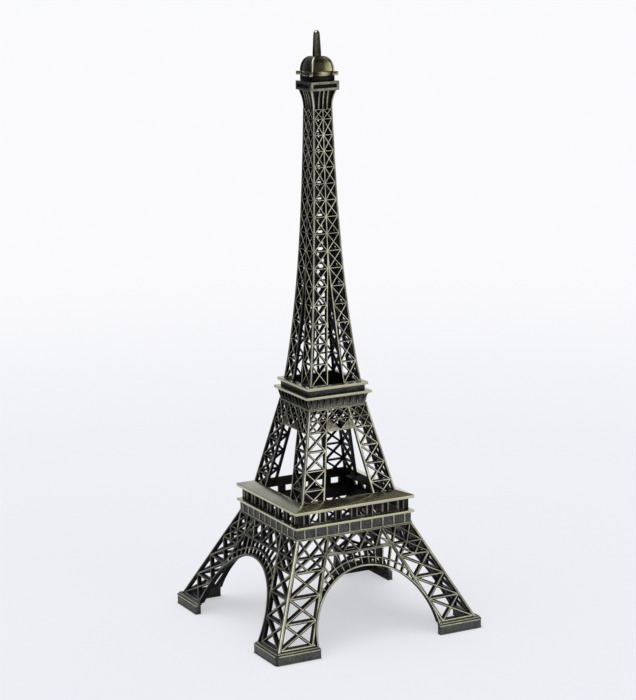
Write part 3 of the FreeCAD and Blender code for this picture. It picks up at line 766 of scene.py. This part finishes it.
# rubs are given for each corner of a ring's section, from its inner foot outwards and up
frieze = {
    "wall": 3.4, "recess": 0.5, "lip": 0.8, "ledge": 1.4, "overlap": 0.05,
    "panelRub": (0, 0.3, 0.3, 0), "lipRub": (0, 0.75, 0.7, 0), "lipEase": 0.2,
    "ledgeRub": (0, 0.85, 0.9, 0.2), "ledgeEase": 0.3,
    # pilasters: how far they start above the foot, reach into the panel and end in the ledge
    "pilasters": 10, "pitch": 6.75, "width": 0.9, "rise": 0.4, "into": 0.3, "head": 0.2, "ease": 0.16, "rub": 0.74,
}
gallery = {
    "wall": 1.5, "rail": 0.7, "railEase": 0.1, "footRub": (0, 0.5, 0.5, 0), "headRub": (0, 0.3, 0.3, 0),
    "piers": 7, "pitch": 9.5, "pier": 4.3, "pierBack": 0.25, "pierIn": 0.3, "pierEase": 0.1, "pierRub": 0.05,
    "pilaster": 1.0, "apart": 3.3, "proud": 0.45, "into": 0.5, "short": 0.1, "ease": 0.2, "rub": 0.66,
    "cornerShort": 0.2, "cornerEase": 0.15, "cornerRub": 0.3,
}
canopy = {
    "eave": 1.7, "overhang": 4, "inner": 28.4, "throat": 0.9, "brim": 0.6, "ease": 0.28,
    "rub": (0, 0, 0.2, 0.84, 0.9, 0.82, 0.1),
}


def makeFrieze():
    low, high = levelsOf("first_floor_frieze")
    outside = halfOf("first_floor_frieze")
    face = baseSide["top"]
    panel = face - frieze["recess"]
    inner = face - frieze["wall"]
    behind = inner - frieze["overlap"]
    lip = low + frieze["lip"]
    top = high - frieze["ledge"]
    bm = newWork()
    addSquareRing(bm, [(inner, low), (panel, low), (panel, top), (inner, top)], frieze["panelRub"])
    addSquareRing(bm, [(behind, low), (face, low), (face, lip), (behind, lip)], frieze["lipRub"], frieze["lipEase"])
    made = []
    half = frieze["width"] / 2
    front, back = -face + frieze["overlap"], -panel + frieze["into"]
    for x in spread(frieze["pilasters"], frieze["pitch"]):
        start, end = (x - half, front, low + frieze["rise"]), (x + half, back, top + frieze["head"])
        made += addBlock(bm, start, end, frieze["ease"], 2, frieze["rub"])
    aroundTheMiddle(bm, made)
    finishPiece(
        "first_floor_frieze_band", bm, brass["mottled antique brass"], ["first_floor_frieze"]
    )
    bm = newWork()
    section = [(inner, top), (outside, top), (outside, high), (inner, high)]
    addSquareRing(bm, section, frieze["ledgeRub"], frieze["ledgeEase"], 3)
    finishPiece(
        "first_floor_ledge", bm, brass["satin antique brass"], [], crease=making["crispCrease"]
    )


def makeGallery():
    low, high = levelsOf("first_floor_gallery")
    face = halfOf("first_floor_gallery")
    inner = face - gallery["wall"]
    bm = newWork()
    footRail, headRail = low + gallery["rail"], high - gallery["rail"]
    for start, end, rub in ((low, footRail, gallery["footRub"]), (headRail, high, gallery["headRub"])):
        section = [(inner, start), (face, start), (face, end), (inner, end)]
        addSquareRing(bm, section, rub, gallery["railEase"])
    made = []
    within, short = gallery["pierIn"], gallery["short"]
    for x in spread(gallery["piers"], gallery["pitch"]):
        half = gallery["pier"] / 2
        start, end = (x - half, -face + gallery["pierBack"], low + within), (x + half, -inner, high - within)
        made += addBlock(bm, start, end, gallery["pierEase"], 1, gallery["pierRub"])
        half = gallery["pilaster"] / 2
        for side in (-1, 1):
            middle = x + side * gallery["apart"] / 2
            start = (middle - half, -face - gallery["proud"], low + short)
            end = (middle + half, -face + gallery["into"], high - short)
            made += addBlock(bm, start, end, gallery["ease"], 2, gallery["rub"])
    corner = face - gallery["pitch"] * (gallery["piers"] - 1) / 2 - gallery["pier"] / 2
    start = (-face, -face, low + gallery["cornerShort"])
    end = (-face + corner, -face + corner, high - gallery["cornerShort"])
    made += addBlock(bm, start, end, gallery["cornerEase"], 2, gallery["cornerRub"])
    aroundTheMiddle(bm, made)
    finishPiece(
        "first_floor_gallery_wall", bm, brass["rubbed antique brass"], ["first_floor_gallery"]
    )


def makeCanopy():
    low, high = levelsOf("canopy_roof")
    outside = halfOf("canopy_roof")
    eaveBottom = levelsOf("first_floor_gallery")[1]
    eaveTop = eaveBottom + canopy["eave"]
    throat, wall = canopy["inner"] - canopy["throat"], outside - canopy["overhang"]
    bm = newWork()
    section = [(throat, low), (wall, low), (wall, eaveBottom), (outside, eaveBottom), (outside, eaveTop)]
    section += [(canopy["inner"], high), (canopy["inner"] - canopy["brim"], high)]
    addSquareRing(bm, section, canopy["rub"], canopy["ease"], 3)
    finishPiece(
        "canopy_ring", bm, brass["satin antique brass"], ["canopy_roof"], crease=making["crispCrease"]
    )


makeFrieze()
makeGallery()
makeCanopy()
print("first floor ready")


# middle storey

midSide = {
    "foot": 29.33, "top": 17.55, "depth": 1.7, "corner": 1.0, "cornerGap": 0.7,
    "postFoot": 15.95, "postTop": 6.4, "post": 1.4, "finePost": 0.9,
    "bays": 4, "baysHeight": 39.2, "girdleRows": 2, "legCells": 2, "middleCells": 2, "chord": 0.35,
    "strut": 1.1, "fineStrut": 0.85, "crest": 0.22, "flank": 0.4, "roundness": 0.38,
    "cornerPost": 1.6, "cornerProud": 0.15, "cornerRound": 0.5,
}
midFoot, midTop = levelsOf("mid_side_front")


def midShare(level):
    return (level - midFoot) / (midTop - midFoot)


def midHalf(level):
    return mix(midSide["foot"], midSide["top"], midShare(level))


def midPost(level):
    return mix(midSide["postFoot"], midSide["postTop"], midShare(level))


def makeMid():
    work = Lattice()
    baysTop = midFoot + midSide["baysHeight"]
    levels = even(midFoot, baysTop, midSide["bays"]) + even(baysTop, midTop, midSide["girdleRows"])[1:]
    for low, high in zip(levels, levels[1:]):
        girdle = low >= baysTop - bars["near"]
        strut = midSide["fineStrut" if girdle else "strut"]
        cells = midSide["legCells"] if girdle else 1
        inward, outward = [], []
        for level in (low, high):
            fine = level >= baysTop - bars["near"]
            half = midSide["finePost" if fine else "post"] / 2
            inward.append(midPost(level) - half)
            outward.append(midPost(level) + half - midSide["fineStrut" if fine else "strut"] / 2)
        for sign in (-1, 1):
            inner = [[sign * near, sign * far] for near, far in zip(inward, outward)]
            outer = [[sign * (midHalf(z) - midSide[gap]) for gap in ("corner", "cornerGap")] for z in (low, high)]
            work.solid(inner[0], inner[1], low, high)
            work.solid(outer[0], outer[1], low, high)
            across = [even(inner[i][1], outer[i][0], cells) for i in (0, 1)]
            work.crossed(across[0], across[1], low, high, strut)
        if girdle:
            across = [even(-end, end, midSide["middleCells"]) for end in inward]
            work.crossed(across[0], across[1], low, high, strut)
            if low < baysTop + bars["near"]:
                work.solid(across[0], across[0], low - midSide["chord"], low)
    side = work.cast(midSide["depth"], midSide, baysTop + 1)
    lean(side, midHalf)
    finishSides("mid", side)
    finishPosts("mid", midSide, [midFoot, midTop], midHalf)


makeMid()
print("middle storey ready")


# second floor: bracket cornice, two slabs and the wall between them

cornice = {
    "neck": 0.35, "neckShare": 0.4, "swing": 1.8,  # the cove draws in to a neck, and swings out by this power
    "wall": 2.6, "sunk": 0.35, "steps": 6, "rub": 0.5, "shadeUnderSlab": 0.35,  # the cove is painted darker towards its top, as shade under the slab
    "band": 0.9, "bandEase": 0.2, "bandRub": (0, 0.6, 0.6, 0),
    "brackets": 9, "pitch": 3.95, "width": 0.75, "proud": 0.75, "footProud": 0.15, "into": 0.4, "headInto": 0.6,
    "sharp": 1.2, "ease": 0.15, "bracketRub": 0.8, "rise": 0.15,  # brackets are rubbed more towards their top
}
slabs = {
    "wallHalf": 16.8, "wallInner": 15.2, "wallEase": 0.15, "wallRub": (0, 0.2, 0.2, 0),
    "lap": 0.9, "ease": 0.3, "rub": (0, 0.8, 0.86, 0.1),
}


def corniceHalf(share):
    # the cove swings in above the girdle and out under the slab
    low, high = midSide["top"], halfOf("second_floor_cornice")
    neck = low - cornice["neck"]
    if share < cornice["neckShare"]:
        return low - cornice["neck"] * math.sin(share / cornice["neckShare"] * math.pi / 2)
    past = (share - cornice["neckShare"]) / (1 - cornice["neckShare"])
    return neck + (high - neck) * past ** cornice["swing"]


def barAcross(outline, width):  # a bar across the front, from the outline of its one end
    bar = newWork()
    face = bar.faces.new([bar.verts.new(place) for place in outline])
    bmesh.ops.translate(bar, verts=pullOut(bar, [face]), vec=(width, 0, 0))
    return bar


def inOneEnd(edge):  # whether an edge lies in one end of such a bar
    return abs(edge.verts[0].co.x - edge.verts[1].co.x) < bars["near"]


def makeCornice():
    low, high = levelsOf("second_floor_cornice")
    inner, face = midSide["top"] - cornice["wall"], midSide["top"]
    band = low + cornice["band"]
    shares = even(0, 1, cornice["steps"])
    cove = [(corniceHalf(share) - cornice["sunk"], mix(low, high, share)) for share in shares]
    bm = newWork()
    # painted shade under the slab: the cove's rub falls towards its top
    coveRubAndPaintedShade = [0] + [cornice["rub"] - cornice["shadeUnderSlab"] * share for share in shares] + [0]
    addSquareRing(bm, [(inner, low)] + cove + [(inner, high)], coveRubAndPaintedShade)
    section = [(inner, low), (face, low), (face, band), (inner, band)]
    addSquareRing(bm, section, cornice["bandRub"], cornice["bandEase"])
    made = []
    for x in spread(cornice["brackets"], cornice["pitch"]):
        start = x - cornice["width"] / 2
        outline = []
        for share in shares:
            proud = cornice["proud"] * (cornice["footProud"] + share ** 2) - cornice["into"]
            outline.append((start, -(corniceHalf(share) + proud), mix(low, high, share)))
        outline += [(start, -cove[-1][0] + cornice["headInto"], high), (start, -cove[0][0] + cornice["into"], low)]
        bracket = barAcross(outline, cornice["width"])
        front = -face + cornice["band"]
        sharp = [edge for edge in sharpOf(bracket.edges, cornice["sharp"]) if inOneEnd(edge)]
        bevelEdges(bracket, [edge for edge in sharp if edge.verts[0].co.y < front], cornice["ease"], 1)
        paint(bracket.verts, bracket, lambda place: (
            cornice["bracketRub"] + cornice["rise"] * (place.z - low) / (high - low)
        ))
        made += bringIn(bm, bracket)
    aroundTheMiddle(bm, made)
    finishPiece(
        "second_floor_brackets", bm, brass["mottled antique brass"], ["second_floor_cornice"]
    )


def makeSlabs():
    for slab in ("second_floor_lower_slab", "second_floor_upper_slab"):
        low, high = levelsOf(slab)
        outside = halfOf(slab)
        inner = slabs["wallInner"] - slabs["lap"]
        bm = newWork()
        section = [(inner, low), (outside, low), (outside, high), (inner, high)]
        addSquareRing(bm, section, slabs["rub"], slabs["ease"], 3)
        look = brass["satin antique brass"]
        finishPiece(slab + "_plate", bm, look, [slab], crease=making["crispCrease"])
    low, high = levelsOf("second_floor_wall")
    inner, outer = slabs["wallInner"], slabs["wallHalf"]
    bm = newWork()
    addSquareRing(bm, [(inner, low), (outer, low), (outer, high), (inner, high)], slabs["wallRub"], slabs["wallEase"])
    finishPiece("second_floor_parapet", bm, brass["mottled antique brass"], ["second_floor_wall"])


makeCornice()
makeSlabs()
print("second floor ready")


# upper storey

upperSide = {
    "foot": 15.4, "top": 5.75, "limit": 4.0,  # its half width falls towards a limit that it never gets to
    "depth": 2.6, "footDepth": 1.6, "corner": 0.75, "cornerGap": 0.5,
    "bays": 15, "bayLimit": 7.9, "bayExtra": 3.3, "ratio": 0.87,  # a bay is its limit and an extra that shrinks
    "post": 0.9, "gapFoot": 5.05, "gapBays": 6,  # the legs stand apart for this many bays
    "strut": 0.75, "crest": 0.25, "flank": 0.3, "roundness": 0.3,
    "cornerPost": 1.05, "cornerProud": 0.12, "cornerRound": 0.35,
}
upperFoot, upperTop = levelsOf("upper_side_front")


def upperRails():
    levels = [upperFoot]
    for index in range(upperSide["bays"]):
        levels.append(levels[-1] + upperSide["bayLimit"] + upperSide["bayExtra"] * upperSide["ratio"] ** index)
    return levels + [upperTop]


rails = upperRails()
merge = rails[upperSide["gapBays"]]


def upperHalf(level):
    share = (level - upperFoot) / (upperTop - upperFoot)
    ratio = (upperSide["top"] - upperSide["limit"]) / (upperSide["foot"] - upperSide["limit"])
    return upperSide["limit"] + (upperSide["foot"] - upperSide["limit"]) * ratio ** share


def upperPost(level):
    if level > merge + making["touching"]:
        return 0
    return mix(upperSide["post"] / 2, upperSide["gapFoot"], (merge - level) / (merge - upperFoot))


def makeUpper():
    work = Lattice()
    half = upperSide["post"] / 2
    sunk = half - upperSide["strut"] / 2
    for index, (low, high) in enumerate(zip(rails, rails[1:])):
        together = index >= upperSide["gapBays"]
        for sign in (-1, 1):
            posts = [0 if together else upperPost(z) for z in (low, high)]
            inner = [[sign * max(0, post - half), sign * (post + sunk)] for post in posts]
            outer = [[sign * (upperHalf(z) - upperSide[gap]) for gap in ("corner", "cornerGap")] for z in (low, high)]
            if index == upperSide["gapBays"]:
                inner[0] = [0, sign * (half + sunk)]
            work.solid(inner[0], inner[1], low, high)
            work.solid(outer[0], outer[1], low, high)
            work.crossed([inner[0][1], outer[0][0]], [inner[1][1], outer[1][0]], low, high, upperSide["strut"])
    side = work.cast(upperSide["depth"], upperSide)
    for vert in side.verts:  # the casting is thinner towards the foot
        if vert.co.y > upperSide["depth"] - bars["near"]:
            share = (vert.co.z - upperFoot) / (merge - upperFoot)
            vert.co.y = mix(upperSide["footDepth"], upperSide["depth"], min(1, share))
    lean(side, upperHalf)
    finishSides("upper", side)
    finishPosts("upper", upperSide, rails, upperHalf)


makeUpper()
print("upper storey ready")


# top: flare, cabin, lantern, dome and spire

flare = {
    "foot": 5.75, "top": 7.6, "sag": 0.45, "sunk": 0.9, "inner": 2, "steps": 6,
    "ribs": 3, "pitch": 2.5, "rib": 0.8, "into": 0.3, "ease": 0.12, "rub": 0.72, "corner": 1.3, "cornerRound": 0.35,
}
cabin = {
    "corner": 1.0, "cornerSteps": 4, "slot": 6.9, "slotHeight": 2.0, "slotDepth": 0.8, "ease": 0.16, "rub": 0.75,
    "leastWall": 30,  # square mm; smaller faces are parts of a corner
    "outer": 0.3,  # rims this near the outside are eased
}
lantern = {
    "drum": 6.85, "drumEase": 0.5, "drumRub": 0.04, "short": 0.05,
    "disc": 8.2, "discHeight": 2.4, "round": 64, "ease": 0.45, "discRub": 0.12, "rimRub": 0.7, "rimPower": 8,
    "lug": 11.5, "lugWidth": 1.8, "lugInner": 6, "lugShort": 0.15, "lugEase": 0.25, "lugRub": 0.9,
}
dome = {
    "foot": 6.85, "top": 2.3, "inner": 1.2, "fullness": 0.88, "steps": 10, "cuts": 7,
    "rib": 1.3, "ribProud": 0.5, "ribRound": 0.4, "crease": 50,
    # the panes' black rub, and a painted highlight towards the side hips with its power
    "rub": 0.12, "paintedHighlight": 0.95, "highlightPower": 2.2,
}
spire = {
    "foot": 2.3, "neck": 1.75, "footHeight": 1.6, "round": 32, "crease": 60,
    "tipHeight": 2.4, "tipShares": (0.3, 0.6, 0.85, 1), "tipPower": 0.8,
    # one painted highlight down the left of the side that faces the camera, which grows towards a rubbed tip
    "highlightSide": (-0.78, -0.62, 0), "rub": 0.12, "paintedHighlight": 0.6, "growth": 0.4, "highlightPower": 8,
    "tipRub": 0.25, "tipFade": 4,
}


def flareHalf(share):
    return mix(flare["foot"], flare["top"], share) - flare["sag"] * math.sin(share * math.pi)


def makeFlareRib(places):
    # a bar that follows (out, level) places up the front
    into = flare["sunk"] + flare["into"]
    start = -flare["rib"] / 2
    outline = [(start, -out, level) for out, level in places]
    outline += [(start, -out + into, level) for out, level in reversed(places)]
    rib = barAcross(outline, flare["rib"])
    outs = {(round(-out, 3), round(level, 3)) for out, level in places}
    ends = [edge for edge in rib.edges if inOneEnd(edge)]
    fronts = [edge for edge in ends if all((round(v.co.y, 3), round(v.co.z, 3)) in outs for v in edge.verts)]
    bevelEdges(rib, fronts, flare["ease"], 2)
    paint(rib.verts, rib, lambda place: flare["rub"])
    return rib


def makeFlare():
    low, high = levelsOf("top_flare")
    places = [(flareHalf(share), mix(low, high, share)) for share in even(0, 1, flare["steps"])]
    core = [(out - flare["sunk"], level) for out, level in places]
    bm = newWork()
    addSquareRing(bm, [(flare["inner"], low)] + core + [(flare["inner"], high)], [0] * (len(core) + 2))
    made = []
    for x in spread(flare["ribs"], flare["pitch"]):
        rib = bringIn(bm, makeFlareRib(places))
        bmesh.ops.translate(bm, verts=rib, vec=(x, 0, 0))
        made += rib
    aroundTheMiddle(bm, made)
    levels = [level for out, level in places]
    bringIn(bm, cornerPosts(
        flare["corner"], levels, lambda level: flareHalf((level - low) / (high - low)), 0.0, flare["cornerRound"]
    ))
    finishPiece("top_flare_ribs", bm, brass["rubbed antique brass"], ["top_flare"])


def makeCabin():
    low, high = levelsOf("top_cabin")
    half = halfOf("top_cabin")
    bm = newWork()
    for vert in bmesh.ops.create_cube(bm, size=1)["verts"]:
        vert.co = (vert.co.x * 2 * half, vert.co.y * 2 * half, mix(low, high, vert.co.z + 0.5))
    paint(bm.verts, bm, lambda place: cabin["rub"])
    bevelEdges(bm, uprightOf(bm), cabin["corner"], cabin["cornerSteps"])
    walls = [face for face in bm.faces if abs(face.normal.z) < 0.5 and face.calc_area() > cabin["leastWall"]]
    rail = (high - low - cabin["slotHeight"]) / 2
    bmesh.ops.inset_individual(bm, faces=walls, thickness=rail, use_even_offset=True)
    for face in walls:  # each inset wall is drawn out to the slot's width
        middle = face.calc_center_median()
        across = face.normal.cross(zAxis)
        for vert in face.verts:
            offset = (vert.co - middle).dot(across)
            vert.co += across * (math.copysign(cabin["slot"], offset) - offset)
    for face in walls:
        way = face.normal.copy()
        grown = bmesh.ops.extrude_discrete_faces(bm, faces=[face])["faces"][0]
        bmesh.ops.translate(bm, verts=grown.verts, vec=-way * cabin["slotDepth"])
        paint(grown.verts, bm, lambda place: 0.0)
    outer = half - cabin["outer"]
    rims = [edge for edge in sharpOf(bm.edges) if max(abs(edge.verts[0].co.x), abs(edge.verts[0].co.y)) > outer]
    bevelEdges(bm, rims, cabin["ease"], 2)
    finishPiece("top_cabin_box", bm, brass["rubbed antique brass"], ["top_cabin"])


def makeLantern():
    low, high = levelsOf("top_lantern")
    disc = high - lantern["discHeight"]
    bm = newWork()
    half = lantern["drum"]
    end = (half, half, high - lantern["short"])
    addBlock(bm, (-half, -half, low), end, lantern["drumEase"], 3, lantern["drumRub"])
    made = bmesh.ops.create_cone(
        bm, cap_ends=True, segments=lantern["round"], radius1=lantern["disc"], radius2=lantern["disc"],
        depth=lantern["discHeight"], matrix=Matrix.Translation((0, 0, (disc + high) / 2)),
    )["verts"]
    paint(made, bm, lambda place: lantern["discRub"] + lantern["rimRub"] * (
        max(abs(place.x), abs(place.y)) / lantern["disc"]
    ) ** lantern["rimPower"])
    bevelEdges(bm, sharpOf(edgesOf(made)), lantern["ease"], 3)
    reach, wide, short = lantern["lug"], lantern["lugWidth"] / 2, lantern["lugShort"]
    for turn in range(4):
        lug = newWork()
        start, end = (lantern["lugInner"], -wide, disc + short), (reach, wide, high - short)
        addBlock(lug, start, end, lantern["lugEase"], 2, lantern["lugRub"])
        corner = Matrix.Rotation(math.pi / 4 + turn * math.pi / 2, 3, "Z")
        bmesh.ops.rotate(lug, verts=lug.verts, cent=origin, matrix=corner)
        bringIn(bm, lug)
    finishPiece("top_lantern_disc", bm, brass["dark antique brass"], ["top_lantern"])


def domeHalf(share):
    # a full curve from the foot in to the spire
    return mix(dome["top"], dome["foot"], math.cos(math.asin(share)) ** dome["fullness"])


def paneRubAndPaintedHighlight(place):
    # painted highlight: the panes stay black near the front and back hips and carry a painted highlight towards the
    # other two, the hips at either side of the view
    half = max(abs(place.x), abs(place.y))
    return dome["rub"] + dome["paintedHighlight"] * (1 - abs(place.x + place.y) / (2 * half)) ** dome["highlightPower"]


def runsLevel(edge):  # along the front or along a side, at one level
    gap = edge.verts[0].co - edge.verts[1].co
    return abs(gap.z) < bars["near"] and sum(abs(part) > bars["near"] for part in gap) == 1


def makeDome():
    low, high = levelsOf("top_dome")
    shares = [math.sin(step * math.pi / 2) for step in even(0, 1, dome["steps"])]
    heights = [mix(low, high, share) for share in shares]
    panes = [(domeHalf(share) - dome["ribProud"], level) for share, level in zip(shares, heights)]
    bm = newWork()
    addSquareRing(bm, [(dome["inner"], low)] + panes + [(dome["inner"], high)], [0] * (len(panes) + 2))
    level = [edge for edge in bm.edges if runsLevel(edge)]
    bmesh.ops.subdivide_edges(bm, edges=level, cuts=dome["cuts"], use_grid_fill=True)
    paint(bm.verts, bm, paneRubAndPaintedHighlight)
    bringIn(bm, cornerPosts(
        dome["rib"], heights, lambda z: domeHalf(min(1, max(0, (z - low) / (high - low)))), 0.0, dome["ribRound"]
    ))
    finishPiece(
        "top_dome_shell", bm, brass["dark antique brass"], ["top_dome"], crease=dome["crease"]
    )


def makeSpire():
    low, high = levelsOf("top_spire")
    shoulder = high - spire["tipHeight"]
    outline = [(0, low), (spire["foot"], low), (spire["foot"], low + spire["footHeight"]), (spire["neck"], shoulder)]
    for share in spire["tipShares"]:  # the point is rounded over
        radius = spire["neck"] * math.cos(math.asin(share)) ** spire["tipPower"]
        outline.append((radius, mix(shoulder, high, share)))
    bm = newWork()
    verts = [bm.verts.new((radius, 0, level)) for radius, level in outline]
    edges = [bm.edges.new(pair) for pair in zip(verts, verts[1:])]
    bmesh.ops.spin(
        bm, geom=verts + edges, cent=origin, axis=zAxis, angle=2 * math.pi, steps=spire["round"], use_merge=True
    )
    side = Vector(spire["highlightSide"])

    # the black rub, a painted highlight on the side towards the camera, and a rubbed tip
    def spireRubAndPaintedHighlight(place):
        flat = Vector((place.x, place.y, 0))
        facing = max(0, flat.dot(side) / max(flat.length, 0.01))
        up = (place.z - low) / (high - low)
        paintedHighlight = (spire["paintedHighlight"] + spire["growth"] * up) * facing ** spire["highlightPower"]
        return spire["rub"] + paintedHighlight + spire["tipRub"] * up ** spire["tipFade"]

    paint(bm.verts, bm, spireRubAndPaintedHighlight)
    finishPiece(
        "top_spire_point", bm, brass["dark antique brass"], ["top_spire"], crease=spire["crease"]
    )


makeFlare()
makeCabin()
makeLantern()
makeDome()
makeSpire()
print("top ready")
